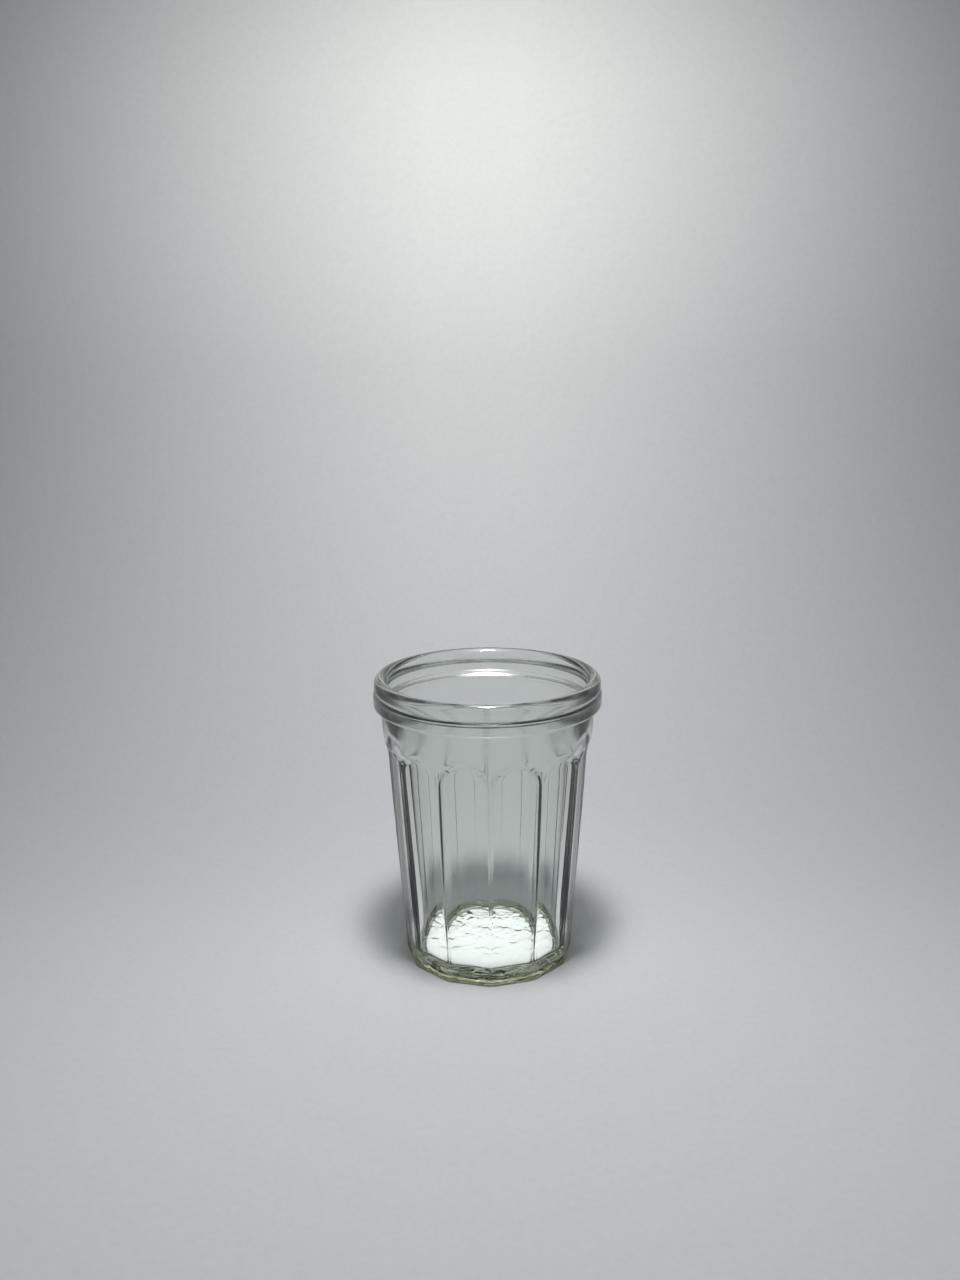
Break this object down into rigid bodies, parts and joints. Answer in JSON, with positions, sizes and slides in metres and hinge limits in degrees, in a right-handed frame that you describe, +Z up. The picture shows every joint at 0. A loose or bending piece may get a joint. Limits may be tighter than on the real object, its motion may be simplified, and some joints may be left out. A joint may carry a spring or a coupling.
{
  "type": "tea glass",
  "caption": "Straight-sided pressed glass tumbler for tea, with flat arched panels between narrow ribs, a plain neck and a rounded rim band.",
  "frame": {"origin": "middle of the ring that the glass rests on, at table level", "axes": "+Z up along the axis of the glass; -Y is the side that faces the camera, with a rib on it"},
  "size_m": [0.07, 0.07, 0.091],
  "materials": {
    "glass": "clear pressed soda-lime glass with a faint green tint in its thick parts, fire-polished smooth"
  },
  "bodies": {
    "root": {"tumbler": "glass"}
  },
  "joints": []
}
